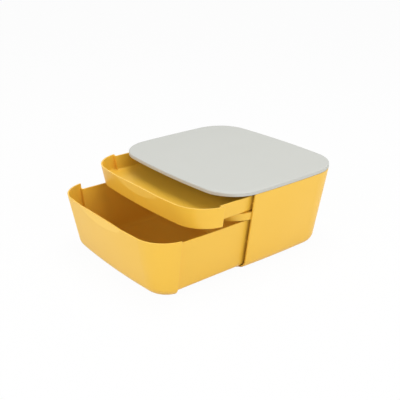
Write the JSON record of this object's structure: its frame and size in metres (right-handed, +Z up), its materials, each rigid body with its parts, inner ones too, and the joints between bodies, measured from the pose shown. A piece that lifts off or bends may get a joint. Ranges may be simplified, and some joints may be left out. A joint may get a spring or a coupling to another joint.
{
  "type": "file box with drawer",
  "caption": "Desk file box for A4 papers: a deep and a shallow drawer with wrap-around fronts slide out of a soft-cornered tapering case under a flat overhanging lid.",
  "frame": {"origin": "middle of the case's flat underside; the pads reach 1 mm below it", "axes": "+X to the right as seen from the front, -Y towards the front, where the drawers open, +Z up"},
  "size_m": [0.37, 0.4528, 0.171],
  "materials": {
    "yellow_plastic": "fine matt moulded grain",
    "grey_plastic": "fine matt moulded grain",
    "pad_rubber": "matt"
  },
  "bodies": {
    "case": {"case_shell": "yellow_plastic", "non_slip_pads": "pad_rubber", "divider_shelf": "yellow_plastic", "lid": "grey_plastic"},
    "lower_drawer": {"lower_drawer": "yellow_plastic"},
    "upper_drawer": {"upper_drawer": "yellow_plastic"}
  },
  "joints": [
    {"name": "lower_drawer_slide", "type": "slide", "parent": "case", "child": "lower_drawer", "axis": [0, -1, 0], "range_m": [-0.156, 0.034]},
    {"name": "upper_drawer_slide", "type": "slide", "parent": "case", "child": "upper_drawer", "axis": [0, -1, 0], "range_m": [-0.0685, 0.1215]}
  ]
}
